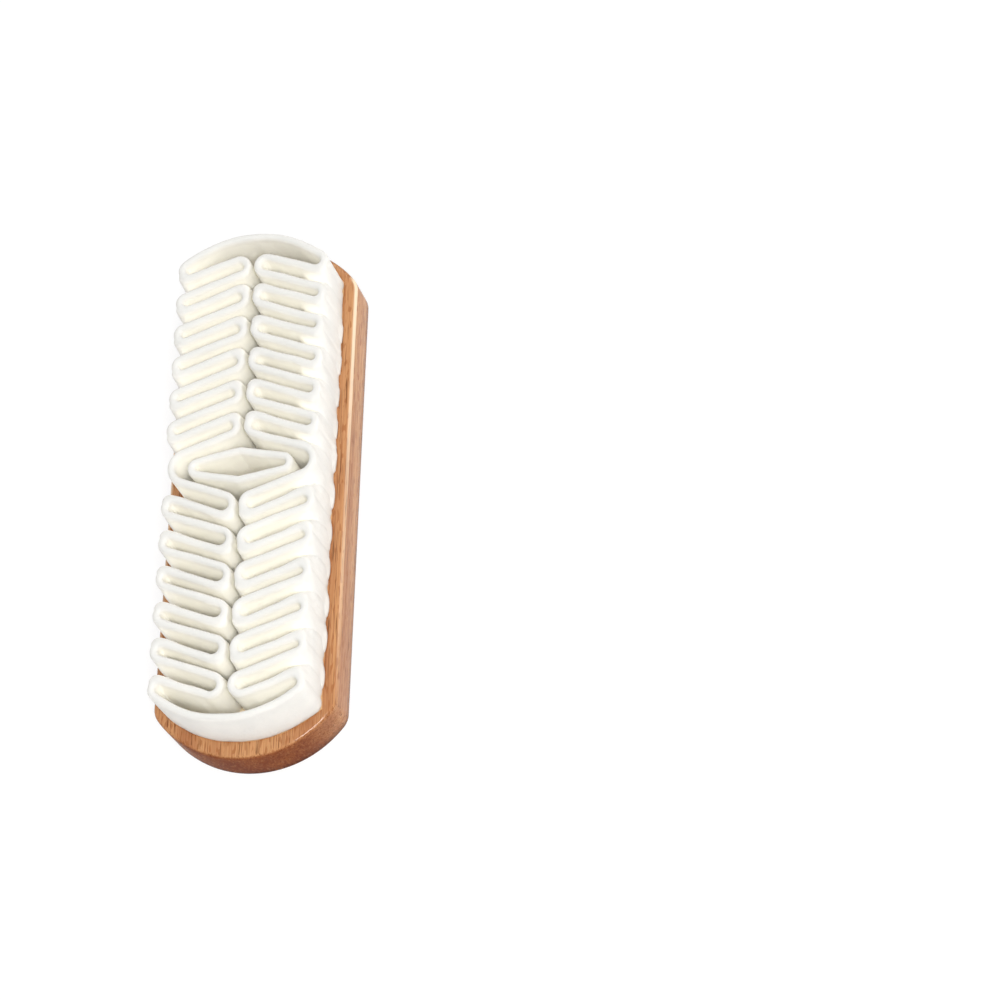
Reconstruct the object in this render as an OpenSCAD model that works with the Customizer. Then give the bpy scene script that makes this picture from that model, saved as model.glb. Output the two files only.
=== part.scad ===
// Crepe brush for suede and nubuck: a lacquered beech block that carries one long strip of
// natural crepe rubber, folded to and fro and glued on edge, with a closed ring in the middle.
// X runs along the block, Y across it, and Z up through the crepe. The origin is the centre
// of the flat back, on which the brush lies.

/* [Beech block] */
// Length of the block, from the tip of one curved end to the other
block_len = 120; // [112:1:140]
// Width of the block
block_w = 40; // [38:1:48]
// Thickness of the block
block_t = 11; // [8:0.5:18]
// Radius of each curved end
end_r = 24; // [22:0.5:34]
// Radius of the corner between a curved end and a long side
corner_r = 4.5; // [2:0.5:7]
// Round on the edge of the back
back_round = 1.3; // [0.6:0.1:1.9]
// Round on the edge of the face that carries the crepe
face_round = 0.4; // [0.2:0.1:1]

/* [Glue bed] */
// Thickness of the dried glue between the block and the crepe
bed_t = 0.4; // [0.2:0.1:1]
// How far the glue shows past the foot of the crepe
bed_show = 0.6; // [0.2:0.1:1.5]

/* [Crepe strip] */
// Height of the strip, which stands on edge
strip_h = 13.6; // [8:0.2:20]
// Thickness of the strip
strip_t = 1.8; // [1.4:0.1:2.2]
// Round along both top edges of the strip
top_round = 0.7; // [0.2:0.1:0.7]
// Bare wood between a long side of the block and the outer folds
side_margin = 3; // [2:0.25:4]
// Bare wood between the tip of the block and the crepe
tip_margin = 3.6; // [2.4:0.2:6]
// Outer radius of the crepe across each end
crepe_end_r = 25.5; // [23:0.5:34]

/* [Folds] */
// Fingers in each quarter of the brush
fingers = 6; // [3:1:7]
// Slope of the runs, which point away from the middle
run_tilt = 19.5; // [14:0.5:24]
// Clear gap between one finger and the next
valley_gap = 1.55; // [1:0.05:2.2]
// Clear gap along the middle, between the tips of the left and right fingers
channel_gap = 0.5; // [0.3:0.1:1.5]
// Radius of the fold in each corner, to the middle of the strip
corner_fold_r = 1.85; // [1.4:0.05:2.6]
// Radius of the wide right fold round the ring, to the middle of the strip
wide_fold_r = 3.25; // [2.8:0.05:4.2]
// How far the left fold round the ring stays back from the line of the outer folds
left_fold_back = 0.8; // [0:0.1:1.5]
// How far the pattern lies from the middle of the block, because the strip is laid by hand
pattern_shift = 1.35; // [0:0.05:2]

/* [Ring] */
// Clear gap between the left tip of the ring and the wide fold round it
ring_tip_gap = 2.6; // [1.5:0.1:4]
// Clear gap between the ring's tips and the last runs
ring_side_gap = 0.8; // [0.4:0.1:1.2]
// Clear gap between the ring's long sides and the tips of the last fingers
ring_finger_gap = 2; // [1.6:0.1:3]
// Radius at the ring's blunt corners, to the middle of the strip
ring_bend_r = 1.6; // [1.2:0.1:3]
// How far the ring lies back from the middle of the pattern
ring_back = 0.3; // [0:0.05:0.5]

/* [Hidden] */
$fn = 96;

// Facets in the round along each edge of the block and along each top edge of the strip
edge_facets = 4;
top_facets = 2;
// Facets across each end of the block and round each of its corners
end_steps = 16;
corner_steps = 8;
// How far a run reaches into the fold at its end, and how far the bulge of a fold stands proud
lap = 0.04;
fold_proud = 0.01;

// Corners of the block, where the round meets the end arc from inside
corner_y = block_w / 2 - corner_r;
end_c = block_len / 2 - end_r;
corner_x = end_c + sqrt(pow(end_r - corner_r, 2) - pow(corner_y, 2));
end_angle = atan2(corner_y, corner_x - end_c);

// The strip and the ring stand on the glue
foot_z = block_t + bed_t;
// Half the width of the crepe over its outer folds
crepe_y = block_w / 2 - side_margin;
// Outer and inner reach of the strip's middle line, and the line halfway between them
line_out = crepe_y - strip_t / 2;
line_in = channel_gap / 2 + strip_t / 2;
line_mid = (line_out + line_in) / 2;

// Middle line of the strip across each end
arc_r = crepe_end_r - strip_t / 2;
arc_c = block_len / 2 - tip_margin - crepe_end_r;

// The corner fold touches the end arc from inside and reaches line_out
fold_c = [arc_c + sqrt(pow(arc_r - corner_fold_r, 2) - pow(line_out - corner_fold_r, 2)),
          line_out - corner_fold_r];
fold_angle = atan2(fold_c.y, fold_c.x - arc_c);

// Where the slope carries a point that lies at x on line_mid
function along_run(x, y) = [x + (line_mid - y) * tan(run_tilt), y];
// A fold that reaches out to reach and touches the mirrored runs that lie half from its middle
// on line_mid: its radius from half, and half from its radius
function wedge_r(half, reach) =
    (half * cos(run_tilt) - (reach - line_mid) * sin(run_tilt)) / (1 - sin(run_tilt));
function wedge_half(r, reach) =
    (r * (1 - sin(run_tilt)) + (reach - line_mid) * sin(run_tilt)) / cos(run_tilt);

// Places on line_mid of the first run, which enters the corner fold, and of the last runs
first_run = fold_c.x - corner_fold_r / cos(run_tilt) - (line_mid - fold_c.y) * tan(run_tilt);
last_run = wedge_half(wide_fold_r, line_out);
left_reach = line_out - left_fold_back;

// Spacing along X of the two runs of a valley, and of one finger and the next
valley_r = (valley_gap + strip_t) / 2;
valley_x = 2 * valley_r / cos(run_tilt);
function finger_pitch(shift) = (first_run - shift - last_run + valley_x) / fingers;
function finger_r(pitch) = (pitch - valley_x) * cos(run_tilt) / 2;
function finger_x(pitch, k) = first_run - (pitch - valley_x) / 2 - k * pitch;
function finger_tip(pitch, k) = along_run(finger_x(pitch, k), line_in + finger_r(pitch));
function valley_top(pitch, k) = along_run(finger_x(pitch, k) - pitch / 2, line_out - valley_r);

// The ring: tip arcs, long sides and blunt corners, round the ring's own middle
ring_x = pattern_shift - ring_back;
ring_reach = left_reach - strip_t - ring_tip_gap;
ring_tip_r = wedge_r(last_run - ring_back - (strip_t + ring_side_gap) / cos(run_tilt), ring_reach);
ring_tip_y = ring_reach - ring_tip_r;
// The nearest fingers are the lower ones, seen from the middle of the ring
near_pitch = finger_pitch(-pattern_shift);
near_tip = finger_tip(near_pitch, fingers - 1) + [ring_x, 0];
near_way = near_tip - [0, ring_tip_y];
near_r = finger_r(near_pitch) + strip_t + ring_finger_gap;
ring_slope = atan2(near_way.x, -near_way.y) - asin((ring_tip_r + near_r) / norm(near_way));
ring_bend_x = (ring_tip_r + ring_tip_y * sin(ring_slope) - ring_bend_r) / cos(ring_slope);

function towards(angle) = [cos(angle), sin(angle)];

// Points on an arc, and the outline of one end of the block, moved in by inset
function arc(centre, r, from, to, steps) =
    [for (i = [0 : steps]) centre + r * towards(from + (to - from) * i / steps)];
function end_outline(inset) = concat(
    arc([corner_x, -corner_y], corner_r - inset, -90, -end_angle, corner_steps),
    [for (i = [1 : end_steps - 1])
        [end_c, 0] + (end_r - inset) * towards(end_angle * (2 * i / end_steps - 1))],
    arc([corner_x, corner_y], corner_r - inset, end_angle, 90, corner_steps));

module block_outline(inset) {
    end = end_outline(inset);
    polygon(concat(end, -end));
}

// The layers of a round of radius r along an edge, each drawn from the block's middle plane
module edge_layers(r) {
    for (angle = [90 / edge_facets : 90 / edge_facets : 90]) {
        linear_extrude(block_t / 2 - r * (1 - sin(angle))) block_outline(r * (1 - cos(angle)));
    }
}

module beech_block() {
    color("peru") hull() {
        translate([0, 0, back_round])
            linear_extrude(block_t - back_round - face_round) block_outline(0);
        translate([0, 0, block_t / 2]) mirror([0, 0, 1]) edge_layers(back_round);
        translate([0, 0, block_t / 2]) edge_layers(face_round);
    }
}

// The glue lies under all the crepe and shows as a thin rim round it
module glue_bed() {
    half_w = crepe_y + bed_show;
    r = crepe_end_r + bed_show;
    color("khaki") translate([0, 0, block_t]) linear_extrude(bed_t) {
        square([2 * arc_c, 2 * half_w], center = true);
        for (turn = [0, 180]) rotate(turn) intersection() {
            translate([arc_c, 0]) circle(r);
            translate([0, -half_w]) square([arc_c + r, 2 * half_w]);
        }
    }
}

// Section of the strip, standing on x = 0, with both top edges rounded in flat facets
module strip_section(proud = 0) {
    corner = [for (angle = [0 : 90 / top_facets : 90])
        [strip_t / 2 - top_round, strip_h - top_round] + (top_round + proud) * towards(angle)];
    half = concat([[strip_t / 2 + proud, 0]], corner);
    polygon(concat(half, [for (i = [len(half) - 1 : -1 : 0]) [-half[i].x, half[i].y]]));
}

// A straight run of the strip between two points of its middle line
module run(from, to) {
    way = to - from;
    translate((from + to) / 2) rotate([90, 0, atan2(way.y, way.x) + 90])
        linear_extrude(norm(way) + 2 * lap, center = true) strip_section();
}

// A fold of the strip about a centre, from one angle to another
module fold(centre, r, from, to) {
    translate(centre) rotate(from)
        rotate_extrude(angle = to - from) translate([r, 0]) strip_section(fold_proud);
}

// The arc of the strip across one end, between the corner folds
module end_arc() {
    extra = lap / arc_r * 180 / PI;
    translate([arc_c, 0]) rotate(-fold_angle - extra)
        rotate_extrude(angle = 2 * (fold_angle + extra)) translate([arc_r, 0]) strip_section();
}

// The corner fold, fingers and valleys of one quarter, in the half where x and y are positive.
// The last run ends at the wide fold, which lies shift from the middle and reaches wide_reach.
module quarter(shift, wide_reach) {
    n = towards(run_tilt);
    pitch = finger_pitch(shift);
    tip_r = finger_r(pitch);
    wide_r = wedge_r(last_run, wide_reach);
    fold(fold_c, corner_fold_r, fold_angle, run_tilt + 180);
    for (k = [0 : fingers - 1]) {
        tip = finger_tip(pitch, k);
        before = valley_top(pitch, k - 1);
        after = valley_top(pitch, k);
        fold(tip, tip_r, run_tilt - 180, run_tilt);
        run(tip + tip_r * n, k > 0 ? before - valley_r * n : fold_c - corner_fold_r * n);
        run(tip - tip_r * n, k < fingers - 1 ? after + valley_r * n : [shift, wide_reach - wide_r] + wide_r * n);
        if (k < fingers - 1) fold(after, valley_r, run_tilt, run_tilt + 180);
    }
}

module crepe_strip() {
    color("ivory") translate([0, 0, foot_z]) {
        for (side = [0, 1]) mirror([0, side, 0]) {
            reach = side == 0 ? left_reach : line_out;
            wide_r = wedge_r(last_run, reach);
            fold([pattern_shift, reach - wide_r], wide_r, run_tilt, 180 - run_tilt);
            quarter(pattern_shift, reach);
            mirror([1, 0, 0]) quarter(-pattern_shift, reach);
        }
        for (turn = [0, 180]) rotate(turn) end_arc();
    }
}

module crepe_ring() {
    m = towards(ring_slope);
    color("ivory") translate([ring_x, 0, foot_z]) for (turn = [0, 180]) rotate(turn) {
        fold([0, ring_tip_y], ring_tip_r, ring_slope, 180 - ring_slope);
        fold([ring_bend_x, 0], ring_bend_r, -ring_slope, ring_slope);
        for (flip = [0, 1]) mirror([flip, 0, 0])
            run([0, ring_tip_y] + ring_tip_r * m, [ring_bend_x, 0] + ring_bend_r * m);
    }
}

beech_block();
glue_bed();
crepe_strip();
crepe_ring();
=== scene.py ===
"""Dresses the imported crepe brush: beech block, glue film, folded crepe strip and crepe ring."""

import logging
import math
from dataclasses import dataclass, field, replace
from enum import Enum
from typing import Callable
from typing import Callable

import bpy
import bmesh
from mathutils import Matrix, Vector, noise


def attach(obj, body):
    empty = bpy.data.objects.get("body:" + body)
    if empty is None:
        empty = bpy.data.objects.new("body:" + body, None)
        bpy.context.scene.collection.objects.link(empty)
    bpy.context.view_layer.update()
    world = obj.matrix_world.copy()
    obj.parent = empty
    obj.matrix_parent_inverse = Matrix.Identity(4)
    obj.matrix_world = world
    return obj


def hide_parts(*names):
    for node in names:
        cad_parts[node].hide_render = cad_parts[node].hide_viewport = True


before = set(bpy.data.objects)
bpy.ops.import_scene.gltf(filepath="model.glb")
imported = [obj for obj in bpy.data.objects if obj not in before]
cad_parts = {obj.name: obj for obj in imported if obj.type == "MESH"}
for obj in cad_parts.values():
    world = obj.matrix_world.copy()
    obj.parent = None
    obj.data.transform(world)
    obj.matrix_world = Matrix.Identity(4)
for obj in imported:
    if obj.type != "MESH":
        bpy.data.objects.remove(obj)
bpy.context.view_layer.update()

log = logging.getLogger("crepe_brush")

MM = 0.001

# Length of a run in mm over which its thickening low in a pocket fades beside a fold
POCKET_FADE = 2.0
# The same for an end arc beside a corner fold
ARC_FADE = 9.0
# Share of the way from a fold's tip to its side over which its swelling sets in
SWELL_FADE = 0.35
# Places on a strip's middle line that are closer together than this, in mm, become one
CLOSEST = 0.02
# How deep the crepe stands in the glue, in mm
FOOT_SINK = 0.1
WHITE = (1, 1, 1, 1)

Point = tuple[float, float]
Triple = tuple[float, float, float]
Socket = bpy.types.NodeSocket
Tree = bpy.types.NodeTree
Piece = bpy.types.Object
Material = bpy.types.Material


class Slot(Enum):
    """The material slots that the record names."""

    BEECH = "lacquered_beech"
    GLUE = "dried_glue"
    CREPE = "natural_crepe"


class Side(Enum):
    """The two long sides of the pad, seen from the crepe with +x up."""

    LEFT = "left"
    RIGHT = "right"


class Wave(Enum):
    """The soft unevenness of hand work: for each kind its wavelength in mm and a seed."""

    GLUE_EDGE = (3.4, 1.0)
    GLUE_SKIN = (2.4, 2.0)
    CUT_EDGE = (9.0, 3.0)
    FOOT = (3.2, 4.0)
    SHEET = (4.0, 5.0)
    SWAY = (8.0, 6.0)


# Small helpers


def linear(hex_colour: str) -> tuple[float, float, float, float]:
    """Turns an sRGB hex colour to linear.

    Args:
        hex_colour: six hex digits, with or without a hash sign.

    Returns:
        Red, green, blue and an alpha of 1, linear.
    """
    digits = hex_colour.lstrip("#")
    steps = [int(digits[i : i + 2], 16) / 255 for i in (0, 2, 4)]
    red, green, blue = [
        v / 12.92 if v <= 0.04045 else ((v + 0.055) / 1.055) ** 2.4 for v in steps
    ]
    return red, green, blue, 1.0


def cosd(angle: float) -> float:
    """Returns the cosine of an angle in degrees."""
    return math.cos(math.radians(angle))


def sind(angle: float) -> float:
    """Returns the sine of an angle in degrees."""
    return math.sin(math.radians(angle))


def ease(low: float, high: float, value: float) -> float:
    """Smooth step between two limits.

    Args:
        low: the value that gives 0.
        high: the value that gives 1, which may be below low.
        value: the value to place between them.

    Returns:
        A number from 0 to 1 with level ends.
    """
    t = min(max((value - low) / (high - low), 0.0), 1.0)
    return t * t * (3 - 2 * t)


def ripple(x: float, y: float, z: float, wave: Wave) -> float:
    """Smooth noise of about -1 to 1 that is the same on each run.

    Args:
        x: place along the brush in mm.
        y: place across the brush in mm.
        z: height in mm.
        wave: the kind of unevenness.

    Returns:
        The noise at that place.
    """
    wavelength, seed = wave.value
    place = Vector((x, y, z)) / wavelength + Vector((seed * 7.31, seed * 3.17, seed))
    return noise.noise(place) * 1.6


def add_node(
    tree: Tree,
    kind: str,
    inputs: dict[str | int, object] | None = None,
    **settings: object,
) -> bpy.types.Node:
    """Adds one shader node with its settings, and links or fills its inputs.

    Args:
        tree: the tree that the node goes into.
        kind: the node's type after "ShaderNode".
        inputs: for each input, by name or number, a socket to link or a value to set.
        settings: the node's own properties.

    Returns:
        The new node.
    """
    node = tree.nodes.new("ShaderNode" + kind)
    for name, value in settings.items():
        setattr(node, name, value)
    for name, value in (inputs or {}).items():
        if isinstance(value, Socket):
            tree.links.new(value, node.inputs[name])
        else:
            node.inputs[name].default_value = value
    return node


def new_tree(name: str) -> tuple[Material, Tree]:
    """Makes an empty node material.

    Args:
        name: the material's name.

    Returns:
        The material and its node tree.
    """
    material = bpy.data.materials.new(name)
    material.use_nodes = True
    material.node_tree.nodes.clear()
    return material, material.node_tree


def in_mm(tree: Tree, per_mm: Triple) -> Socket:
    """Returns object coordinates with a set number of pattern steps per mm on each axis."""
    place = add_node(tree, "TexCoord").outputs["Object"]
    scale = [s / MM for s in per_mm]
    return add_node(tree, "Mapping", {"Vector": place, "Scale": scale}).outputs["Vector"]


def ramp(
    tree: Tree,
    value: Socket,
    start: float = 0.0,
    stop: float = 1.0,
    to: Point = (0.0, 1.0),
    smooth: bool = True,
) -> Socket:
    """Maps a number from one range to another.

    Args:
        tree: the tree that the node goes into.
        value: the number's socket.
        start: the value that gives the first result.
        stop: the value that gives the second result.
        to: the two results.
        smooth: true for a smooth step, false for a straight line.

    Returns:
        The socket of the result, which stays between the two.
    """
    ends = {"From Min": start, "From Max": stop, "To Min": to[0], "To Max": to[1]}
    kind = "SMOOTHSTEP" if smooth else "LINEAR"
    return add_node(
        tree, "MapRange", {"Value": value, **ends}, interpolation_type=kind
    ).outputs[0]


def stored(tree: Tree, name: str) -> Socket:
    """Returns the socket of a number that the piece carries on its points."""
    return add_node(tree, "Attribute", attribute_name=name).outputs["Fac"]


@dataclass(frozen=True)
class Pattern:
    """Noise: steps per mm along x, y and z, the values that give 0 and its share, and detail."""

    per_mm: Triple
    low: float
    high: float
    detail: float = 2.0
    share: float = 1.0

    def draw(self, tree: Tree) -> Socket:
        """Adds the pattern to a material.

        Args:
            tree: the material's tree.

        Returns:
            The socket of a factor from 0 to the pattern's share.
        """
        inputs = {"Vector": in_mm(tree, self.per_mm), "Scale": 1.0, "Detail": self.detail}
        noisy = add_node(tree, "TexNoise", inputs).outputs[0]
        factor = ramp(tree, noisy, self.low, self.high)
        return factor if self.share == 1.0 else times(tree, factor, self.share)


def blend(
    tree: Tree,
    factor: Socket,
    under: object,
    over: object,
    way: str = "MIX",
) -> Socket:
    """Mixes two colours.

    Args:
        tree: the material's tree.
        factor: how much of the second colour shows.
        under: the first colour, a value or a socket.
        over: the second colour, a value or a socket.
        way: the blend type.

    Returns:
        The socket of the mixed colour.
    """
    mixed = add_node(
        tree,
        "Mix",
        {"Factor": factor, 6: under, 7: over},
        data_type="RGBA",
        blend_type=way,
    )
    return mixed.outputs[2]


def times(
    tree: Tree, first: object, second: object, operation: str = "MULTIPLY"
) -> Socket:
    """Returns the socket of two numbers joined by one sum, kept from 0 to 1."""
    node = add_node(tree, "Math", {0: first, 1: second}, operation=operation, use_clamp=True)
    return node.outputs[0]


def bump(
    tree: Tree, height: Socket, strength: float, depth: float, under: Socket | None = None
) -> Socket:
    """Roughens a surface by a height pattern.

    Args:
        tree: the material's tree.
        height: the pattern.
        strength: how much of it shows, from 0 to 1.
        depth: its height in mm, below 0 where it is cut in.
        under: the normal of a coarser pattern that this one lies on.

    Returns:
        The socket of the new normal.
    """
    inputs = {"Height": height, "Strength": strength, "Distance": abs(depth) * MM}
    if under is not None:
        inputs["Normal"] = under
    return add_node(tree, "Bump", inputs, invert=depth < 0).outputs[0]


def close(tree: Tree, inputs: dict[str, object]) -> None:
    """Ends a material with its shader, whose inputs are given as add_node takes them."""
    shader = add_node(tree, "BsdfPrincipled", inputs)
    add_node(tree, "OutputMaterial", {"Surface": shader.outputs[0]})


# Finishes


@dataclass(frozen=True)
class LacqueredBeech:
    """Steamed European beech, planed, sanded and dipped in clear lacquer.

    Steaming gives the wood a warm orange brown. The pores are short dark dashes along the grain,
    the rays are darker flecks, and cut across the grain the pores are dots and the wood drinks
    more lacquer, so the ends are darker. The lacquer is a clear glossy coat over it all.
    """

    pale: str = "#BB8A5E"
    warm: str = "#A16B46"
    fleck: str = "#8A5029"
    pore: str = "#552C12"
    end_tint: str = "#B8917A"
    # Colour of the painted highlight along the front edge of the long sides
    painted_highlight: str = "#E2CCAF"
    back_pale: str = "#DDA765"
    back_warm: str = "#CE9352"
    back_fleck: str = "#BC7739"
    roughness: float = 0.38
    specular: float = 0.0
    coat: float = 0.5
    end_coat: float = 0.15
    coat_roughness: float = 0.14
    ior: float = 1.5
    # Growth rings pass as broad soft bands, very long along the block
    bands: Pattern = Pattern((0.012, 0.16, 0.16), 0.35, 0.65, 3.0)
    fibres: Pattern = Pattern((0.07, 3.2, 3.2), 0.35, 0.7, 3.0)
    # Pores are 9 mm long and 0.18 mm wide, rays 2.2 mm and 0.55 mm
    pores: Pattern = Pattern((1 / 9.0, 1 / 0.18, 1 / 0.18), 0.585, 0.68, 1.0)
    rays: Pattern = Pattern((1 / 2.2, 1 / 0.55, 1 / 0.55), 0.6, 0.68, 0.0, 0.55)
    flecks: Pattern = Pattern((0.26, 0.5, 0.5), 0.5, 0.7, 1.5, 0.65)
    stripes: Pattern = Pattern((0.03, 0.5, 0.5), 0.5, 0.75, 3.0, 0.5)
    mottle: Pattern = Pattern((2.4, 0.9, 0.9), 0.35, 0.75, 2.0, 0.35)
    specks: Pattern = Pattern((1.4, 1.9, 0.9), 0.5, 0.72, 3.0, 0.4)
    highlight_streaks: Pattern = Pattern((0.03, 0.6, 0.6), 0.1, 0.5, 3.0, 0.92)
    fibre_share: float = 0.42
    pore_share: float = 0.8
    back_filled: float = 0.85
    # Painted shade low on the upright faces: its strength and its height in mm
    low_shade_share: float = 0.75
    low_shade_top: float = 3.5

    def back_wood(self, tree: Tree, bands: Socket) -> Socket:
        """Colours the back, sawn along the rays: golden, with broad orange flecks.

        Args:
            tree: the material's tree.
            bands: the growth rings.

        Returns:
            The socket of the colour.
        """
        colour = blend(tree, bands, linear(self.back_warm), linear(self.back_pale))
        for pattern in (self.flecks, self.stripes, self.mottle):
            colour = blend(tree, pattern.draw(tree), colour, linear(self.back_fleck))
        return colour

    def build(self) -> Material:
        """Builds the material.

        Returns:
            The material, for any piece whose grain runs along x.
        """
        material, tree = new_tree("lacquered_beech")
        bands, fibres, pores = (p.draw(tree) for p in (self.bands, self.fibres, self.pores))
        normal = add_node(tree, "NewGeometry").outputs["Normal"]
        facing = add_node(tree, "SeparateXYZ", {0: normal})
        along = add_node(tree, "Math", {0: facing.outputs[0]}, operation="ABSOLUTE")
        end = ramp(tree, along.outputs[0], 0.45, 0.95)
        back = ramp(tree, facing.outputs[2], -0.55, -0.95)
        fleck, pore = linear(self.fleck), linear(self.pore)
        colour = blend(tree, bands, linear(self.warm), linear(self.pale))
        colour = blend(tree, times(tree, fibres, self.fibre_share), colour, fleck)
        colour = blend(tree, self.rays.draw(tree), colour, fleck)
        colour = blend(tree, back, colour, self.back_wood(tree, bands))
        # The back shows hardly a pore
        bare = times(tree, 1.0, times(tree, back, self.back_filled), "SUBTRACT")
        showing = times(tree, pores, bare)
        colour = blend(tree, times(tree, showing, self.pore_share), colour, pore)
        colour = blend(tree, end, colour, linear(self.end_tint), "MULTIPLY")
        # Painted shade: the upright faces are darkened low down, darkest just above the back
        height = add_node(tree, "SeparateXYZ", {0: in_mm(tree, (1.0, 1.0, 1.0))}).outputs[2]
        painted_low_shade = ramp(tree, height, self.low_shade_top, 0.0)
        upright = times(tree, self.low_shade_share, back, "SUBTRACT")
        colour = blend(tree, times(tree, painted_low_shade, upright), colour, pore, "MULTIPLY")
        # Across the grain the cut fibres catch the light as pale specks
        specks = times(tree, self.specks.draw(tree), end)
        colour = blend(tree, specks, colour, linear(self.warm))
        # Painted highlight: a pale streak along the front edge of the long sides, where the
        # lacquered edge catches the light
        painted_highlight_mask = times(tree, stored(tree, "painted_edge_highlight"), self.highlight_streaks.draw(tree))
        colour = blend(tree, painted_highlight_mask, colour, linear(self.painted_highlight))
        rough = (self.roughness - 0.06, self.roughness + 0.08)
        close(
            tree,
            {
                "Base Color": colour,
                "Roughness": ramp(tree, fibres, to=rough, smooth=False),
                "IOR": self.ior,
                "Specular IOR Level": self.specular,
                "Coat Weight": ramp(tree, end, to=(self.coat, self.end_coat), smooth=False),
                "Coat Roughness": self.coat_roughness,
                "Normal": bump(tree, times(tree, pores, fibres, "ADD"), 0.12, -0.05),
            },
        )
        return material


@dataclass(frozen=True)
class NaturalCrepe:
    """Plantation crepe: coagulated natural rubber, milled to a sheet and cut to a strip.

    It is a matte off-white with a waxy bloom. Its colour carries painted light and shade: low in
    the folds it is painted brighter and yellower, for light bounced about and passed through the
    crepe there, and the cut edge is painted darker, against the stronger light on the tops.
    """

    # Random mottle colour, also painted shade on the cut edge, darker against the stronger light on
    # the tops
    cloud_and_top_shade: str = "#CECDC9"
    sheet: str = "#DBD8D2"
    # Painted light: the brighter, yellower colour low in the folds
    painted_fold_light: str = "#FAF7ED"
    roughness: float = 0.6
    ior: float = 1.52
    soft_light: float = 0.1
    light_depth: float = 0.5
    cloud: Pattern = Pattern((0.16, 0.16, 0.16), 0.3, 0.7, 3.0, 0.45)
    # Grit of 0.45 mm and soft upright wrinkles of 2.6 mm
    grit: Pattern = Pattern((1 / 0.45, 1 / 0.45, 1 / 0.45), 0.3, 0.7, 3.0)
    wrinkles: Pattern = Pattern((1 / 2.6, 1 / 2.6, 0.2), 0.2, 0.8, 2.0)

    def build(self) -> Material:
        """Builds the material.

        Returns:
            The material. It reads how deep in the folds a point is from the mesh.
        """
        material, tree = new_tree("natural_crepe")
        fine = self.grit.draw(tree)
        colour = blend(tree, self.cloud.draw(tree), linear(self.sheet), linear(self.cloud_and_top_shade))
        # Painted light: brighter and yellower low in the folds, for light bounced about in them and
        # passed through the crepe
        colour = blend(tree, stored(tree, "painted_fold_light_mask"), colour, linear(self.painted_fold_light))
        # Painted shade: the cut edge is darker, against the stronger light on the tops
        colour = blend(tree, stored(tree, "painted_top_shade_mask"), colour, linear(self.cloud_and_top_shade))
        soft = bump(tree, self.wrinkles.draw(tree), 0.35, 0.25)
        rough = (self.roughness - 0.05, self.roughness + 0.08)
        close(
            tree,
            {
                "Base Color": colour,
                "Roughness": ramp(tree, fine, to=rough, smooth=False),
                "IOR": self.ior,
                "Subsurface Weight": self.soft_light,
                "Subsurface Radius": (1.0, 0.97, 0.9),
                "Subsurface Scale": self.light_depth * MM,
                "Normal": bump(tree, fine, 0.3, 0.06, soft),
            },
        )
        return material


@dataclass(frozen=True)
class DriedGlue:
    """Latex contact adhesive, brushed on and pressed: a thin amber skin with a low shine.

    Where it is thin the beech shows through, as at its outer edge, and where it has welled up
    between the folds it is milky.
    """

    milky: str = "#FDF0D6"
    amber: str = "#E6CBA0"
    edge: str = "#CBA172"
    roughness: float = 0.42
    ior: float = 1.5
    # Blotches of 2.2 mm
    pools: Pattern = Pattern((1 / 2.2, 1 / 2.2, 1 / 2.2), 0.35, 0.65, 3.0)
    skin: Pattern = Pattern((2.2, 2.2, 2.2), 0.3, 0.7, 2.0)
    skin_share: float = 0.3

    def build(self) -> Material:
        """Builds the material.

        Returns:
            The material.
        """
        material, tree = new_tree("dried_glue")
        fine = self.skin.draw(tree)
        colour = blend(tree, self.pools.draw(tree), linear(self.amber), linear(self.milky))
        colour = blend(tree, times(tree, fine, self.skin_share), colour, linear(self.milky))
        colour = blend(tree, stored(tree, "film_edge"), colour, linear(self.edge))
        close(
            tree,
            {
                "Base Color": colour,
                "Roughness": self.roughness,
                "IOR": self.ior,
                "Normal": bump(tree, fine, 0.4, 0.1),
            },
        )
        return material


@dataclass(frozen=True)
class PaleFloor:
    """Matte white board, lit to white for the camera, that keeps the brush's shadow."""

    board: str = "#F4F4F4"
    lift: float = 0.75

    def build(self) -> Material:
        """Builds the material.

        Returns:
            The material.
        """
        material, tree = new_tree("pale_floor")
        matte = add_node(tree, "BsdfDiffuse", {"Color": linear(self.board)})
        white = add_node(tree, "Emission", {"Color": WHITE, "Strength": 1.0})
        seen = add_node(tree, "LightPath").outputs["Is Camera Ray"]
        mixed = add_node(
            tree,
            "MixShader",
            {0: times(tree, seen, self.lift), 1: matte.outputs[0], 2: white.outputs[0]},
        )
        add_node(tree, "OutputMaterial", {"Surface": mixed.outputs[0]})
        return material


# The shared line of the strip, as the part has it


@dataclass(frozen=True)
class Press:
    """How folds press together: squareness and free gap in mm, at the cut edge and low down.

    A squareness of 2 gives an oval fold, and more a squarer one. Where the gap is below 0 the
    swollen folds run into each other by about that much.
    """

    power_top: float
    power_low: float
    gap_top: float
    gap_low: float


PRESSED = Press(2.2, 8.0, 2.0, -3.6)
FREE = Press(2.2, 2.8, 2.0, 1.2)
INNER = Press(2.2, 2.6, 1.3, 0.3)


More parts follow.
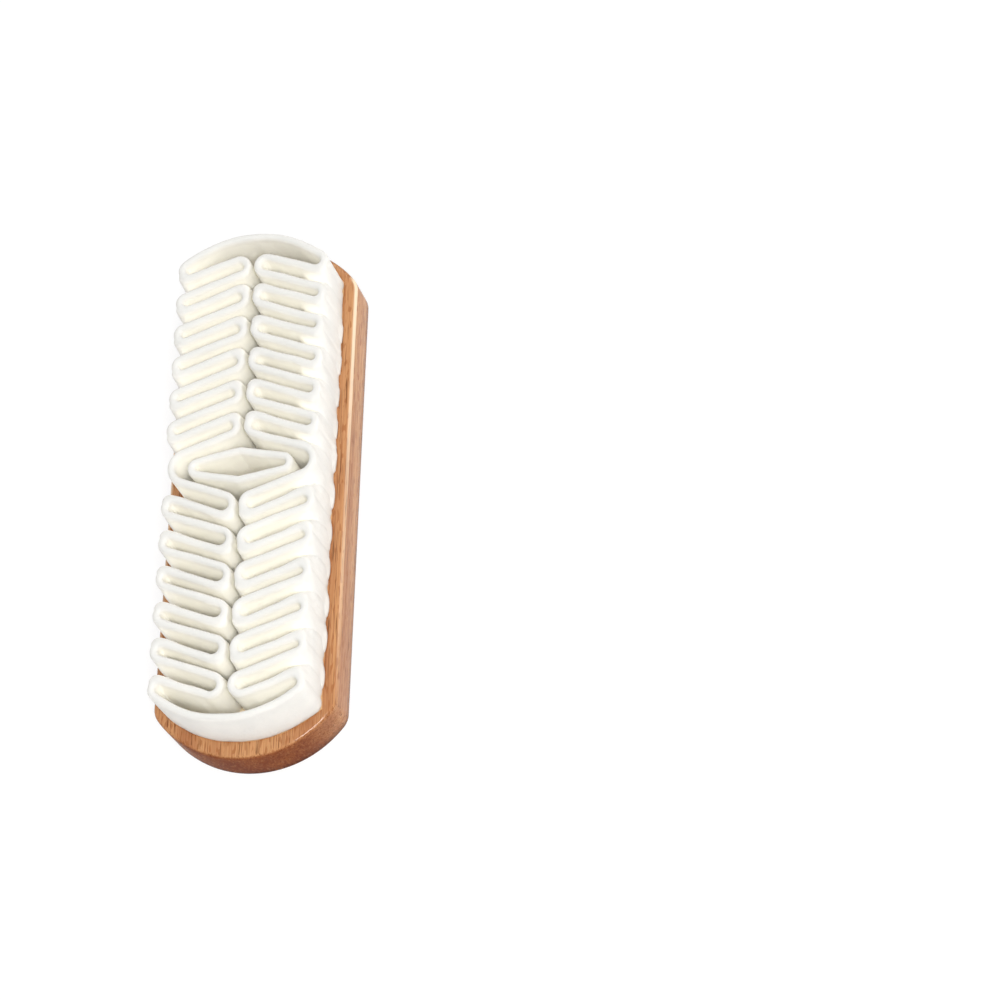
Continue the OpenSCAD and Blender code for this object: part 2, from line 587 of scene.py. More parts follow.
@dataclass(frozen=True)
class Room:
    """How far the outside of a fold may swell until it meets the folds beside it."""

    ahead: float
    behind: float
    slope_ahead: float
    slope_behind: float
    wall: int
    press: Press

    def flipped(self, along: int, across: int) -> "Room":
        """Mirrors the room with its fold.

        Args:
            along: -1 to mirror its x, 1 to keep it.
            across: -1 to mirror its y, 1 to keep it.

        Returns:
            The mirrored room.
        """
        made = self
        if along < 0:
            slopes = -made.slope_behind, -made.slope_ahead
            made = Room(made.behind, made.ahead, *slopes, made.wall, made.press)
        if across < 0:
            slopes = -made.slope_ahead, -made.slope_behind
            made = Room(made.ahead, made.behind, *slopes, -made.wall, made.press)
        return made

    def swell(self, way: Point, reach: float, gap: float, power: float) -> float:
        """Tells how far the fold swells beyond its round shape.

        Args:
            way: the direction from the fold's centre, of length 1.
            reach: radius of the round outside in mm.
            gap: what stays free between two swollen folds in mm, below 0 where they press.
            power: 2 for an oval fold, and more for a squarer one.

        Returns:
            The extra radius in mm, 0 or more.
        """
        ahead = way[0] - self.slope_ahead * way[1]
        behind = self.slope_behind * way[1] - way[0]
        room, share = (self.ahead, ahead) if ahead > behind else (self.behind, behind)
        if room <= 0 or share <= 0:
            return 0.0
        out = max(way[1] * self.wall, 0.0) / reach
        side = share / (room - gap / 2)
        radius = (side**power + out**power) ** (-1 / power)
        return max(radius - reach, 0.0) * ease(0.0, SWELL_FADE, share)


@dataclass(frozen=True)
class Bend:
    """One round fold of a strip's middle line, from one angle to another about a centre."""

    centre: Point
    radius: float
    start: float
    stop: float
    room: Room | None = None

    def back_to_front(self) -> "Bend":
        """Returns the same fold walked the other way."""
        return replace(self, start=self.stop, stop=self.start)

    def flipped(self, along: int, across: int) -> "Bend":
        """Mirrors the fold.

        Args:
            along: -1 to mirror its x, 1 to keep it.
            across: -1 to mirror its y, 1 to keep it.

        Returns:
            The mirrored fold, walked from the same end.
        """
        start, stop = self.start, self.stop
        if along < 0:
            start, stop = 180 - start, 180 - stop
        if across < 0:
            start, stop = -start, -stop
        centre = (self.centre[0] * along, self.centre[1] * across)
        room = self.room.flipped(along, across) if self.room else None
        return Bend(centre, self.radius, start, stop, room)

    def turning(self) -> int:
        """Returns 1 for a fold that the walk takes to the left, and -1 to the right."""
        return 1 if self.stop > self.start else -1

    def free_side(self) -> bool:
        """Returns true for an outer fold that has another one on both sides."""
        return bool(
            self.room and self.turning() > 0 and min(self.room.ahead, self.room.behind) > 0
        )

    def swell(self, angle: float, fade: float) -> Point:
        """Tells how far the strip's face outside the fold swells.

        Args:
            angle: the place on the fold.
            fade: 1 on the fold and less on the runs beside it.

        Returns:
            The extra thickness in mm at the cut edge and low down.
        """
        if not self.room or fade <= 0:
            return 0.0, 0.0
        way = (cosd(angle), sind(angle))
        reach = self.radius + PLAN.strip_t / 2
        press = self.room.press
        top = self.room.swell(way, reach, press.gap_top, press.power_top)
        low = self.room.swell(way, reach, press.gap_low, press.power_low)
        return top * fade, low * fade

    def at(self, angle: float) -> Point:
        """Returns the point of the fold at an angle."""
        x, y = self.centre
        return x + self.radius * cosd(angle), y + self.radius * sind(angle)


@dataclass(frozen=True)
class Growth:
    """How far one face swells, in mm at the cut edge and low down, and its share of a pocket."""

    top: float
    low: float
    pocket: float


@dataclass(frozen=True)
class Station:
    """One place on a strip's middle line.

    It holds the point, the way to the outer side, the line's curve, the share of the foot's lip
    and the growth of both faces.
    """

    x: float
    y: float
    out_x: float
    out_y: float
    curve: float
    foot: float
    outer: Growth
    inner: Growth


def walk(bends: list[Bend], step: float, turn: float, reach: float) -> list[Station]:
    """Walks a closed line of folds joined by straight runs.

    Args:
        bends: the folds, in order, each ending where the next straight run starts.
        step: most mm between two places.
        turn: most degrees between places in a fold.
        reach: mm of a straight run over which a fold's swelling fades.

    Returns:
        The places in order. The outer side is on the right of the walk.
    """
    spots: list[tuple[Point, float, list[tuple[int, float, float]], float, Point]] = []
    for bend, following in zip(bends, bends[1:] + bends[:1]):
        span = bend.stop - bend.start
        arc = math.radians(abs(span)) * bend.radius
        count = max(3, math.ceil(abs(span) / turn), math.ceil(arc / step))
        for i in range(count + 1):
            angle = bend.start + span * i / count
            grown = [(bend.turning(), *bend.swell(angle, 1.0))]
            lip = -cosd(angle) if bend.free_side() else 0.0
            pocket = (0.0, 1.0) if bend.turning() > 0 else (1.0, 0.0)
            if not bend.room:
                nearest = arc * min(i, count - i) / count
                pocket = (0.0, ease(ARC_FADE, 0.0, nearest) if following.room else 0.0)
            spots.append((bend.at(angle), bend.turning() / bend.radius, grown, lip, pocket))
        last, first = bend.at(bend.stop), following.at(following.start)
        length = math.dist(last, first)
        pieces = max(1, math.ceil(length / step))
        for i in range(1, pieces):
            part = i / pieces
            ends = (
                (bend, bend.stop, part * length),
                (following, following.start, (1 - part) * length),
            )
            grown = [(b.turning(), *b.swell(angle, ease(reach, 0, off))) for b, angle, off in ends]
            pocket = (0.0, 0.0)
            if bend.room and following.room:
                clear = [(b.turning(), ease(0.0, POCKET_FADE, off)) for b, _, off in ends]
                pocket = tuple(
                    min(share if turning == side else 1.0 for turning, share in clear)
                    for side in (1, -1)
                )
            x, y = (a + (b - a) * part for a, b in zip(last, first))
            spots.append(((x, y), 0.0, grown, 0.0, pocket))
    pairs = zip(spots, spots[-1:] + spots[:-1])
    kept = [spot for spot, before in pairs if math.dist(spot[0], before[0]) > CLOSEST]
    stations = []
    for i, ((x, y), curve, grown, lip, pocket) in enumerate(kept):
        before, after = kept[i - 1][0], kept[(i + 1) % len(kept)][0]
        away = Vector((after[1] - before[1], before[0] - after[0])).normalized()
        faces = [
            Growth(*(sum(g[k] for g in grown if g[0] == side) for k in (1, 2)), share)
            for side, share in zip((1, -1), pocket)
        ]
        stations.append(Station(x, y, away.x, away.y, curve, max(lip, 0.0), *faces))
    return stations


@dataclass(frozen=True)
class FoldPlan:
    """The sizes of the pad in mm, the same as the part's own, and the lines that they give."""

    block_len: float = 120.0
    block_w: float = 40.0
    block_t: float = 11.0
    bed_t: float = 0.4
    bed_show: float = 0.12
    strip_h: float = 13.6
    strip_t: float = 1.8
    side_margin: float = 3.0
    tip_margin: float = 3.6
    crepe_end_r: float = 25.5
    fingers: int = 6
    tilt: float = 19.5
    valley_gap: float = 1.55
    channel_gap: float = 0.5
    corner_fold_r: float = 1.85
    wide_fold_r: float = 3.25
    wide_gap_top: float = 1.7
    left_fold_back: float = 0.8
    pattern_shift: float = 1.35
    ring_tip_gap: float = 2.6
    ring_side_gap: float = 0.8
    ring_finger_gap: float = 2.0
    ring_bend_r: float = 1.6
    ring_back: float = 0.3

    @property
    def foot_z(self) -> float:
        """Height at which the crepe stands on the glue."""
        return self.block_t + self.bed_t

    @property
    def crepe_y(self) -> float:
        """Half the width of the crepe."""
        return self.block_w / 2 - self.side_margin

    @property
    def line_out(self) -> float:
        """Farthest y of the strip's middle line."""
        return self.crepe_y - self.strip_t / 2

    @property
    def line_in(self) -> float:
        """Nearest y of the strip's middle line to the middle channel."""
        return self.channel_gap / 2 + self.strip_t / 2

    @property
    def line_mid(self) -> float:
        """The y about which the runs lean."""
        return (self.line_in + self.line_out) / 2

    @property
    def arc_r(self) -> float:
        """Radius of the strip's middle line round each end."""
        return self.crepe_end_r - self.strip_t / 2

    @property
    def arc_c(self) -> float:
        """The x of the centre of the end arc."""
        return self.block_len / 2 - self.tip_margin - self.crepe_end_r

    @property
    def fold_c(self) -> Point:
        """Centre of the fold at a corner, which touches the end arc."""
        reach = self.arc_r - self.corner_fold_r
        y = self.line_out - self.corner_fold_r
        return self.arc_c + math.sqrt(reach * reach - y * y), y

    @property
    def fold_angle(self) -> float:
        """Angle of the place where the end arc goes over into the corner fold."""
        x, y = self.fold_c
        return math.degrees(math.atan2(y, x - self.arc_c))

    @property
    def valley_r(self) -> float:
        """Radius of a fold at the outer side."""
        return (self.valley_gap + self.strip_t) / 2

    @property
    def valley_x(self) -> float:
        """Width of such a fold along x."""
        return 2 * self.valley_r / cosd(self.tilt)

    def inset(self, x: float, y: float) -> float:
        """Returns how far a point lies inside the pad's outer edge."""
        from_side = self.crepe_y - abs(y)
        beyond = abs(x) - self.arc_c
        if beyond <= 0:
            return from_side
        return min(from_side, self.crepe_end_r - math.hypot(beyond, y))

    def along_run(self, x: float, y: float) -> Point:
        """Returns the point at height y on the leaning run that passes x at the middle."""
        return x + (self.line_mid - y) * sind(self.tilt) / cosd(self.tilt), y

    def wedge_r(self, half: float, reach: float) -> float:
        """Returns the radius of the fold between two runs that lean together."""
        lean = sind(self.tilt)
        return (half * cosd(self.tilt) - (reach - self.line_mid) * lean) / (1 - lean)

    @property
    def first_run(self) -> float:
        """The x of the run next to the corner."""
        x, y = self.fold_c
        slope = sind(self.tilt) / cosd(self.tilt)
        return x - self.corner_fold_r / cosd(self.tilt) - (self.line_mid - y) * slope

    @property
    def last_run(self) -> float:
        """The x of the run next to the ring."""
        lean = sind(self.tilt)
        wide = self.wide_fold_r * (1 - lean)
        return (wide + (self.line_out - self.line_mid) * lean) / cosd(self.tilt)

    @property
    def left_reach(self) -> float:
        """Farthest y of the wide fold on the left side."""
        return self.line_out - self.left_fold_back

    def pitch(self, shift: float) -> float:
        """Returns the distance between two fingers of one quarter."""
        return (self.first_run - shift - self.last_run + self.valley_x) / self.fingers

    def finger_r(self, pitch: float) -> float:
        """Returns the radius of a finger's tip."""
        return (pitch - self.valley_x) * cosd(self.tilt) / 2

    def tip(self, pitch: float, k: int) -> Point:
        """Returns the centre of the tip of finger k."""
        x = self.first_run - (pitch - self.valley_x) / 2 - k * pitch
        return self.along_run(x, self.line_in + self.finger_r(pitch))

    def valley(self, pitch: float, k: int) -> Point:
        """Returns the centre of the outer fold after finger k."""
        x = self.first_run - (pitch - self.valley_x) / 2 - (k + 0.5) * pitch
        return self.along_run(x, self.line_out - self.valley_r)

    def quarter(self, shift: float, reach: float, side: Side) -> list[Bend]:
        """Lists the folds of one quarter.

        Args:
            shift: how far the wide fold lies from the middle of the brush along x.
            reach: farthest y of the wide fold's middle line.
            side: on the right the folds press together low down, on the left they stand free.

        Returns:
            The folds from the corner to the wide fold, for x and y above 0.
        """
        lean = self.tilt
        slope = -sind(lean) / cosd(lean)
        pitch = self.pitch(shift)
        half = pitch / 2
        last = self.fingers - 1
        press = PRESSED if side is Side.RIGHT else FREE
        outer = Room(half, half, slope, slope, 1, press)
        corner_x = self.along_run(self.first_run - (pitch - self.valley_x) / 2, self.fold_c[1])[0]
        corner = replace(outer, ahead=0.0, behind=self.fold_c[0] - corner_x)
        bends = [Bend(self.fold_c, self.corner_fold_r, self.fold_angle, lean + 180, corner)]
        for k in range(self.fingers):
            ahead, behind = 0.0 if k == 0 else half, 0.0 if k == last else half
            inner = Room(ahead, behind, slope, slope, -1, INNER)
            tip = self.tip(pitch, k)
            bends.append(Bend(tip, self.finger_r(pitch), lean, lean - 180, inner))
            if k < last:
                bends.append(Bend(self.valley(pitch, k), self.valley_r, lean, lean + 180, outer))
        radius = self.wedge_r(self.last_run, reach)
        wide_y = reach - radius
        tip_x, tip_y = self.tip(pitch, last)
        wide_half = tip_x + (tip_y - wide_y) * -slope - shift
        wide_press = replace(press, gap_top=self.wide_gap_top)
        wide = Room(wide_half, wide_half, slope, -slope, 1, wide_press)
        bends.append(Bend((shift, wide_y), radius, lean, 180 - lean, wide))
        return bends

    def strip_line(self) -> list[Bend]:
        """Lists the folds of the whole strip, counter-clockwise.

        Returns:
            The folds, with the two end arcs among them.
        """
        near, far = self.pattern_shift, -self.pattern_shift
        upper_left = self.quarter(near, self.left_reach, Side.LEFT)
        lower_left = [
            b.flipped(-1, 1).back_to_front()
            for b in reversed(self.quarter(far, self.left_reach, Side.LEFT)[:-1])
        ]
        lower_right = [b.flipped(-1, -1) for b in self.quarter(far, self.line_out, Side.RIGHT)]
        upper_right = [
            b.flipped(1, -1).back_to_front()
            for b in reversed(self.quarter(near, self.line_out, Side.RIGHT)[:-1])
        ]
        low_arc = Bend((-self.arc_c, 0), self.arc_r, 180 - self.fold_angle, 180 + self.fold_angle)
        top_arc = Bend((self.arc_c, 0), self.arc_r, -self.fold_angle, self.fold_angle)
        return [*upper_left, *lower_left, low_arc, *lower_right, *upper_right, top_arc]

    def ring_line(self) -> list[Bend]:
        """Lists the folds of the ring in the middle, counter-clockwise.

        Returns:
            The two tips and the two blunt bends at the sides.
        """
        middle = self.pattern_shift - self.ring_back
        reach = self.left_reach - self.strip_t - self.ring_tip_gap
        beside = (self.strip_t + self.ring_side_gap) / cosd(self.tilt)
        room = self.last_run - self.ring_back - beside
        tip_r = self.wedge_r(room, reach)
        tip_y = reach - tip_r
        pitch = self.pitch(-self.pattern_shift)
        near_x, near_y = self.tip(pitch, self.fingers - 1)
        way = (near_x + middle, near_y - tip_y)
        clear = self.finger_r(pitch) + self.strip_t + self.ring_finger_gap
        slope = math.degrees(
            math.atan2(way[0], -way[1]) - math.asin((tip_r + clear) / math.hypot(*way))
        )
        side_x = (tip_r + tip_y * sind(slope) - self.ring_bend_r) / cosd(slope)
        return [
            Bend((middle, tip_y), tip_r, slope, 180 - slope),
            Bend((middle - side_x, 0), self.ring_bend_r, 180 - slope, 180 + slope),
            Bend((middle, -tip_y), tip_r, 180 + slope, 360 - slope),
            Bend((middle + side_x, 0), self.ring_bend_r, -slope, slope),
        ]


PLAN = FoldPlan()


# Meshes


def make_object(
    name: str, rings: list[list[Triple]], closed_way: bool
) -> Piece:
    """Makes a closed mesh from rings of points.

    Args:
        name: the piece's name.
        rings: rings of points in mm, all with the same number of points.
        closed_way: true where the last ring joins the first, false where both ends get a cap.

    Returns:
        The object, in metres, shaded smooth.
    """
    mesh = bpy.data.meshes.new(name)
    shape = bmesh.new()
    rows = [[shape.verts.new(Vector(p) * MM) for p in ring] for ring in rings]
    pairs = list(zip(rows, rows[1:]))
    if closed_way:
        pairs.append((rows[-1], rows[0]))
    for here, there in pairs:
        for i in range(len(here)):
            j = (i + 1) % len(here)
            shape.faces.new((here[i], here[j], there[j], there[i]))
    if not closed_way:
        shape.faces.new(list(reversed(rows[0])))
        shape.faces.new(rows[-1])
    for face in shape.faces:
        face.smooth = True
    bmesh.ops.recalc_face_normals(shape, faces=shape.faces[:])
    shape.to_mesh(mesh)
    shape.free()
    made = bpy.data.objects.new(name, mesh)
    bpy.context.scene.collection.objects.link(made)
    return made


def store(piece: Piece, name: str, rule: Callable[[float, float, float], float]) -> None:
    """Stores a number on each point of a piece, for its finish to read.

    Args:
        piece: the piece.
        name: the name that the finish reads.
        rule: gives the number from the point's x, y and z in mm.
    """
    values = piece.data.attributes.new(name, "FLOAT", "POINT")
    for i, vertex in enumerate(piece.data.vertices):
        values.data[i].value = rule(*(vertex.co / MM))


def settle(piece: Piece, node: str, finish: Material) -> None:
    """Gives a piece its finish and puts it in the place of its CAD node.

    Args:
        piece: the new piece.
        node: the CAD node that it stands for.
        finish: the piece's material.
    """
    piece.data.materials.append(finish)
    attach(piece, "root")
    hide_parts(node)


@dataclass
class BeechBlock:
    """The wooden block: two long sides, two bowed ends, small rounds on every edge."""

    finish: LacqueredBeech = field(default_factory=LacqueredBeech)
    end_r: float = 24.0
    corner_r: float = 4.5
    back_round: float = 1.3
    face_round: float = 0.9
    corner_steps: int = 12
    end_steps: int = 40
    round_steps: int = 6
    same: float = 1e-4
    rim: float = 0.3
    # Where the painted highlight lies: its band on the edge round, its fade along the block and its
    # reach in from the side
    highlight_start: Point = (0.0, 0.2)
    highlight_stop: Point = (1.0, 0.85)
    highlight_along: Point = (-25.0, 5.0)
    highlight_side: Point = (1.5, 1.0)

    def outline(self, inset: float) -> list[Point]:
        """Draws the block's outline.

        Args:
            inset: mm by which the outline is smaller all round.

        Returns:
            Points in mm, counter-clockwise, always the same number.
        """
        side = PLAN.block_w / 2
        corner_y = side - self.corner_r
        end_c = PLAN.block_len / 2 - self.end_r
        reach = self.end_r - self.corner_r
        corner_x = end_c + math.sqrt(reach * reach - corner_y * corner_y)
        turn = math.degrees(math.atan2(corner_y, corner_x - end_c))
        small = self.corner_r - inset
        bends: list[Bend] = []
        for half, sign in ((0, 1), (180, -1)):
            x, y = sign * corner_x, sign * corner_y
            bends += [
                Bend((sign * end_c, 0), self.end_r - inset, half - turn, half + turn),
                Bend((x, y), small, half + turn, half + 90),
                Bend((-x, y), small, half + 90, half + 180 - turn),
            ]
        points: list[Point] = []
        for bend in bends:
            steps = self.end_steps if bend.radius > reach / 2 else self.corner_steps
            span = bend.stop - bend.start
            points += [bend.at(bend.start + span * i / steps) for i in range(steps + 1)]
        pairs = zip(points, points[-1:] + points[:-1])
        return [point for point, before in pairs if math.dist(point, before) > self.same]

    def layers(self) -> list[Point]:
        """Lists the block's layers.

        Returns:
            For each layer its height and its inset in mm, from the back to the front face.
        """
        turns = [90 * i / self.round_steps for i in range(self.round_steps + 1)]
        low = [
            (self.back_round * (1 - sind(a)), self.back_round * (1 - cosd(a)))
            for a in reversed(turns)
        ]
        high = [
            (PLAN.block_t - self.face_round * (1 - sind(a)), self.face_round * (1 - cosd(a)))
            for a in turns
        ]
        # An extra ring close inside each flat face keeps its shading flat
        inner_low = (0.0, self.back_round + self.rim)
        return [inner_low, *low, *high, (PLAN.block_t, self.face_round + self.rim)]

    def painted_highlight_share(self, x: float, y: float, z: float) -> float:
        """Tells how strongly the painted highlight lies on a point on the front edge of a long
        side.

        Args:
            x: place along the block in mm.
            y: place across it.
            z: its height.

        Returns:
            A number from 0 to 1.
        """
        above = (z - (PLAN.block_t - self.face_round)) / self.face_round
        if above <= 0:
            return 0.0
        side = [PLAN.block_w / 2 - inset for inset in self.highlight_side]
        band = ease(*self.highlight_start, above) * ease(*self.highlight_stop, above)
        return band * ease(*side, abs(y)) * ease(*self.highlight_along, x)

    def build(self) -> Piece:
        """Builds and dresses the block.

        Returns:
            The piece.
        """
        rings = [[(x, y, z) for x, y in self.outline(inset)] for z, inset in self.layers()]
        piece = make_object("beech_body", rings, closed_way=False)
        store(piece, "painted_edge_highlight", self.painted_highlight_share)
        settle(piece, "beech_block", self.finish.build())
        return piece


@dataclass
class GlueFilm:
    """The dried glue under the crepe: a thin skin with an uneven edge that shows round the foot."""

    finish: DriedGlue = field(default_factory=DriedGlue)
    lap: float = 0.05
    edge_swing: float = 0.18
    most_swing: float = 0.5
    swell: float = 0.22
    swell_from: float = 0.3
    spacing: float = 0.7
    arc_steps: int = 60
    rim_up: float = 0.12
    shoulder: Point = (0.25, 0.04)
    slit: float = 0.02
    middle_stop: float = 2.0
    middle_share: float = 0.8
    thin_edge: Point = (1.6, 0.4)

    def edge(self) -> list[Point]:
        """Draws the film's outer edge.

        Returns:
            Points in mm, counter-clockwise.
        """
        end = PLAN.crepe_end_r + PLAN.bed_show
        side = PLAN.crepe_y + PLAN.bed_show
        turn = math.degrees(math.asin(side / end))
        flat = PLAN.arc_c + end * cosd(turn)
        count = round(2 * flat / self.spacing)
        points: list[Point] = []
        for sign in (1, -1):
            for i in range(self.arc_steps + 1):
                angle = -turn + 2 * turn * i / self.arc_steps
                points.append((sign * (PLAN.arc_c + end * cosd(angle)), sign * end * sind(angle)))
            points += [(sign * (flat - 2 * flat * i / count), sign * side) for i in range(1, count)]
        return points

    def place(self, x: float, y: float, middle: float, inset: float, z: float) -> Triple:
        """Moves a point of the edge inwards and lets the film swell there.

        Args:
            x: the point's x in mm.
            y: the point's y in mm.
            middle: the x of its point on the pad's middle line.
            inset: how far it moves towards that.
            z: height of the film.

        Returns:
            The moved point.
        """
        swing = self.edge_swing * (1 + ripple(x, y, 0, Wave.GLUE_EDGE))
        away = Vector((x - middle, y))
        share = 1 - (inset + min(max(swing, 0.0), self.most_swing)) / away.length
        px, py = middle + away.x * share, away.y * share
        if inset > self.swell_from:
            z += self.swell * max(0.0, ripple(px, py, 0, Wave.GLUE_SKIN))
        return px, py, z

    def thinness(self, x: float, y: float, _: float) -> float:
        """Returns 1 at the film's outer edge and 0 inside it."""
        return ease(*self.thin_edge, PLAN.inset(x, y))

    def build(self) -> Piece:
        """Builds and dresses the film.

        Returns:
            The piece.
        """
        # The middle line stops short of the ends, so that the rings shrink evenly
        stop = PLAN.arc_c - self.middle_stop
        edge = [(x, y, max(-stop, min(stop, x * self.middle_share))) for x, y in self.edge()]
        deep = round(PLAN.crepe_y / self.spacing)
        low = PLAN.block_t - self.lap
        inset, drop = self.shoulder
        heights = [(0.0, low), (0.0, PLAN.block_t + self.rim_up), (inset, PLAN.foot_z - drop)]
        heights += [(self.spacing * i, PLAN.foot_z) for i in range(1, deep)]
        rings = [[(m, self.slit * y, low) for _, y, m in edge]]
        rings += [[self.place(*point, inset, z) for point in edge] for inset, z in heights]
        piece = make_object("glue_film", rings, closed_way=False)
        store(piece, "film_edge", self.thinness)
        settle(piece, "glue_bed", self.finish.build())
        return piece


@dataclass
class CrepeStrip:
    """A strip of crepe sheet stood on edge in the glue, soft at its cut top edge."""

    finish: Material
    step: float = 0.5
    turn: float = 9.0
    swell_reach: float = 4.5
    top_drop: float = 0.3
    thin: float = 0.12
    lean: float = 0.12
    foot_spread: float = 0.3
    foot_lip: float = 0.85
    foot_rise: float = 2.4
    crown_r: float = 1.0
    crown_grow: float = 0.5
    swell_depth: float = 6.5
    pocket_fill: float = 0.52
    pocket_from: float = 0.4
    pocket_depth: float = 5.5
    # The face's points, as shares of its height, are closest near the foot
    levels: tuple[float, ...] = (
        *(0.0, 0.03, 0.07, 0.13, 0.22, 0.34, 0.48),
        *(0.58, 0.67, 0.75, 0.83, 0.91, 1.0),
    )
    crown_steps: int = 6
    crown_power: float = 0.9
    end_foot: float = 0.25
    end_foot_from: Point = (10.0, 4.0)
    foot_base: float = 0.3
    sway_rise: Point = (2.0, 13.0)
    pinch: float = 0.12
    fold_shade: Point = (0.15, 1.8)
    shade_inset: Point = (0.6, 2.4)
    cut_shade: Point = (0.7, 0.1)

    def sway(self, spot: Station) -> float:
        """Returns how far the cut edge leans out at a place, in mm."""
        return self.lean * ripple(spot.x, spot.y, 0, Wave.SWAY)

    def half_width(self, spot: Station, side: int, z: float, high: float) -> float:
        """Tells how far one face stands off the middle line.

        Args:
            spot: the place on the middle line.
            side: 1 for the outer face and -1 for the inner one.
            z: height of the point.
            high: height of the cut edge.

        Returns:
            The distance in mm.
        """
        x, y = spot.x, spot.y
        growth = spot.outer if side > 0 else spot.inner
        near_foot = ease(self.foot_rise, 0.0, z - (PLAN.foot_z - FOOT_SINK))
        foot_wave = max(0.0, self.foot_base + ripple(x + side, y, z * 0.2, Wave.FOOT))
        far, near = (PLAN.arc_c + beyond for beyond in self.end_foot_from)
        on_side = self.end_foot + (1 - self.end_foot) * ease(far, near, abs(x))
        spread = self.foot_spread * foot_wave * on_side
        lip = self.foot_lip * spot.foot if side > 0 else 0.0
        sheet_wave = max(0.0, 0.5 + 0.5 * ripple(x + 3 * side, y, z * 0.4, Wave.SHEET))
        deep = ease(0.0, self.swell_depth, high - z)
        grow = growth.top + (growth.low - growth.top) * deep
        span = self.pocket_depth - self.pocket_from
        sunk = min(max((high - z - self.pocket_from) / span, 0.0), 1.0)
        grow = max(grow, self.pocket_fill * sunk * growth.pocket)
        return PLAN.strip_t / 2 - self.thin * sheet_wave + near_foot * (spread + lip) + grow

    def face(self, spot: Station, side: int, high: float) -> list[Point]:
        """Draws one face of the strip's cross-section at one place.

        Args:
            spot: the place on the middle line.
            side: 1 for the outer face and -1 for the inner one.
            high: height of the cut edge in mm.

        Returns:
            Points as the distance to the outer side and the height, in mm, from the foot up.
        """
        growth = spot.outer if side > 0 else spot.inner
        low = PLAN.foot_z - FOOT_SINK
        crown = self.crown_r + self.crown_grow * growth.top
        shoulder = high - crown
        sway = self.sway(spot)
        points = []
        width = 0.0
        for level in self.levels:
            z = low + (shoulder - low) * level
            width = self.half_width(spot, side, z, high)
            points.append((side * width + sway * ease(*self.sway_rise, z - low), z))
        for i in range(1, self.crown_steps):
            angle = 90 * i / self.crown_steps
            # The cut edge is rounder than a straight cut and flatter than a half circle
            u = width * cosd(angle) ** self.crown_power
            points.append((side * u + sway, shoulder + crown * sind(angle)))
        return points

    def section(self, spot: Station) -> list[Point]:
        """Draws the strip's cross-section at one place.

        Args:
            spot: the place on the middle line.

        Returns:
            Points as the distance to the outer side and the height, in mm, round the section.
        """
        drop = self.top_drop * (0.5 + 0.5 * ripple(spot.x, spot.y, 0, Wave.CUT_EDGE))
        high = PLAN.foot_z + PLAN.strip_h - min(max(drop, 0.0), self.top_drop)
        outer, inner = self.face(spot, 1, high), self.face(spot, -1, high)
        return [*outer, (self.sway(spot), high), *reversed(inner)]

    def mesh(self, name: str, bends: list[Bend]) -> Piece:
        """Sweeps the section along a closed line.

        Args:
            name: the piece's name.
            bends: the folds of the line.

        Returns:
            The object, with what its finish reads stored on its points.
        """
        rings = []
        for spot in walk(bends, self.step, self.turn, self.swell_reach):
            ring = []
            for u, z in self.section(spot):
                if spot.curve > 0:
                    # On the inside of a fold the sheet is pinched, and never passes its centre
                    u = max(u, -1 / spot.curve + self.pinch)
                elif spot.curve < 0:
                    u = min(u, -1 / spot.curve - self.pinch)
                ring.append((spot.x + spot.out_x * u, spot.y + spot.out_y * u, z))
            rings.append(ring)
        made = make_object(name, rings, closed_way=True)
        store(made, "painted_fold_light_mask", self.depth)
        store(made, "painted_top_shade_mask", self.top_shade_share)
        return made

    # Mask of the painted fold light
    def depth(self, x: float, y: float, z: float) -> float:
        """Returns 1 for a point deep in the folds and 0 outside them."""
        below = PLAN.foot_z + PLAN.strip_h - z
        return ease(*self.shade_inset, PLAN.inset(x, y)) * ease(*self.fold_shade, below)

    # Mask of the painted shade on the cut edge
    def top_shade_share(self, _x: float, _y: float, z: float) -> float:
        """Returns 1 for a point on the cut edge and 0 below it."""
        return ease(*self.cut_shade, PLAN.foot_z + PLAN.strip_h - z)

    def build(self) -> Piece:
        """Builds and dresses the folded strip.

        Returns:
            The piece.
        """
        piece = self.mesh("folded_strip", PLAN.strip_line())
        settle(piece, "crepe_strip", self.finish)
        return piece


@dataclass
class CrepeRing(CrepeStrip):
    """The closed ring of the same strip that fills the middle of the pad."""

    def build(self) -> Piece:
        """Builds and dresses the ring.

        Returns:
            The piece.
        """
        piece = self.mesh("middle_ring", PLAN.ring_line())
        settle(piece, "crepe_ring", self.finish)
        return piece


# Camera, floor and light


@dataclass(frozen=True)
class Lamp:
    """A square soft lamp: where it hangs and its side in metres, and its power in watts."""

    name: str
    place: Triple
    size: float
    power: float

    def hang(self) -> None:
        """Hangs the lamp so that it looks at the brush."""
        data = bpy.data.lights.new(self.name, "AREA")
        data.shape = "SQUARE"
        data.size = self.size
        data.energy = self.power
        made = bpy.data.objects.new(self.name, data)
        made.location = self.place
        made.rotation_mode = "QUATERNION"
        way = Vector((0, 0, 0.01)) - Vector(self.place)
        made.rotation_quaternion = way.to_track_quat("-Z", "Y")
        bpy.context.scene.collection.objects.link(made)


LAMPS = (
    Lamp("key", (-0.40, -0.29, 0.87), 0.3, 8.1),
    Lamp("high", (0.7, 0.15, 0.6), 0.5, 1.1),
    Lamp("side", (0.35, -0.89, 0.29), 0.3, 1.9),
    Lamp("fill", (0.1, 0.9, 0.42), 0.5, 0.45),
)


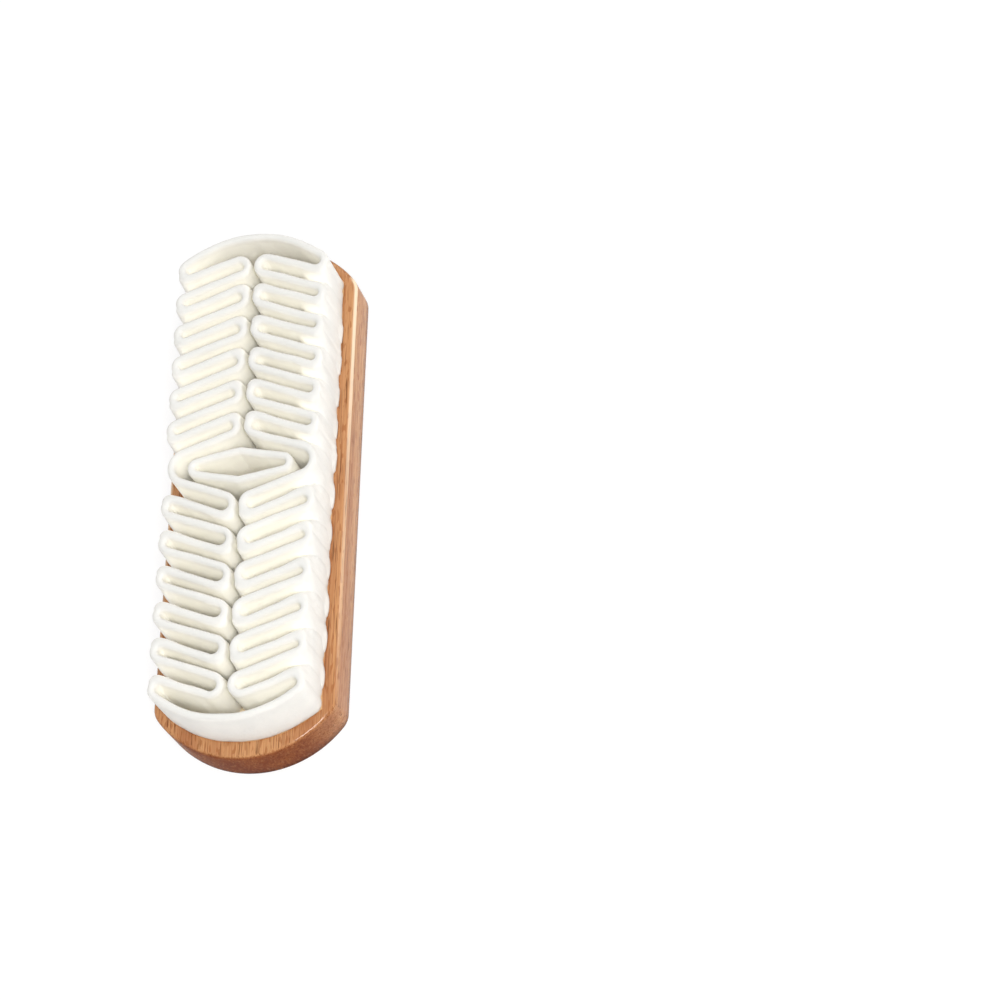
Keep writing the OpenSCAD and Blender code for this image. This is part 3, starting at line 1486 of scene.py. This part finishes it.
@dataclass
class Studio:
    """The pale floor, the soft lamps and the camera."""

    finish: PaleFloor = field(default_factory=PaleFloor)
    camera_at: Triple = (-261.45, -190.49, 588.81)
    camera_turn: Triple = (23.6975, 12.6591, -88.4542)
    lens: float = 110.27
    sensor: float = 36.0
    clip: Point = (0.05, 20.0)
    floor_size: float = 3.0
    floor_drop: float = 0.02
    world_light: float = 0.61
    world_ends: Point = (0.8, 1.2)

    def camera(self) -> None:
        """Sets the camera at the place that the fit to the photograph gives."""
        data = bpy.data.cameras.new("photo_view")
        data.sensor_width = self.sensor
        data.lens = self.lens
        data.clip_start, data.clip_end = self.clip
        made = bpy.data.objects.new("photo_view", data)
        made.location = Vector(self.camera_at) * MM
        made.rotation_euler = [math.radians(a) for a in self.camera_turn]
        bpy.context.scene.collection.objects.link(made)
        bpy.context.scene.camera = made

    def floor(self) -> None:
        """Lays the floor under the brush."""
        mesh = bpy.data.meshes.new("floor")
        shape = bmesh.new()
        bmesh.ops.create_grid(shape, x_segments=8, y_segments=8, size=self.floor_size)
        shape.to_mesh(mesh)
        shape.free()
        made = bpy.data.objects.new("floor", mesh)
        made.location.z = -self.floor_drop * MM
        mesh.materials.append(self.finish.build())
        bpy.context.scene.collection.objects.link(made)

    def world(self) -> None:
        """Sets an even pale surround, white for the camera."""
        world = bpy.data.worlds.new("surround")
        bpy.context.scene.world = world
        world.use_nodes = True
        tree = world.node_tree
        tree.nodes.clear()
        seen = add_node(tree, "LightPath").outputs["Is Camera Ray"]
        place = add_node(tree, "TexCoord").outputs["Generated"]
        along = add_node(tree, "SeparateXYZ", {0: place}).outputs[0]
        # The studio is brighter towards the end with the closer folds, as the photograph shows
        dim, bright = (share * self.world_light for share in self.world_ends)
        level = ramp(tree, along, -1.0, 1.0, (dim, bright), smooth=False)
        soft = add_node(tree, "Background", {"Color": WHITE, "Strength": level})
        white = add_node(tree, "Background", {"Color": WHITE, "Strength": 1.0})
        mixed = add_node(tree, "MixShader", {0: seen, 1: soft.outputs[0], 2: white.outputs[0]})
        add_node(tree, "OutputWorld", {"Surface": mixed.outputs[0]})

    def build(self) -> None:
        """Builds the whole studio."""
        self.camera()
        self.floor()
        for lamp in LAMPS:
            lamp.hang()
        self.world()
        bpy.context.scene.view_settings.view_transform = "Standard"


def main() -> None:
    """Builds the studio and every piece of the brush, and logs each piece's face count."""
    logging.basicConfig(level=logging.INFO, format="%(name)s: %(message)s")
    Studio().build()
    crepe = NaturalCrepe().build()
    for maker in (BeechBlock(), GlueFilm(), CrepeStrip(crepe), CrepeRing(crepe)):
        piece = maker.build()
        log.info("%s has %d faces", piece.name, len(piece.data.polygons))


if __name__ == "__main__":
    main()
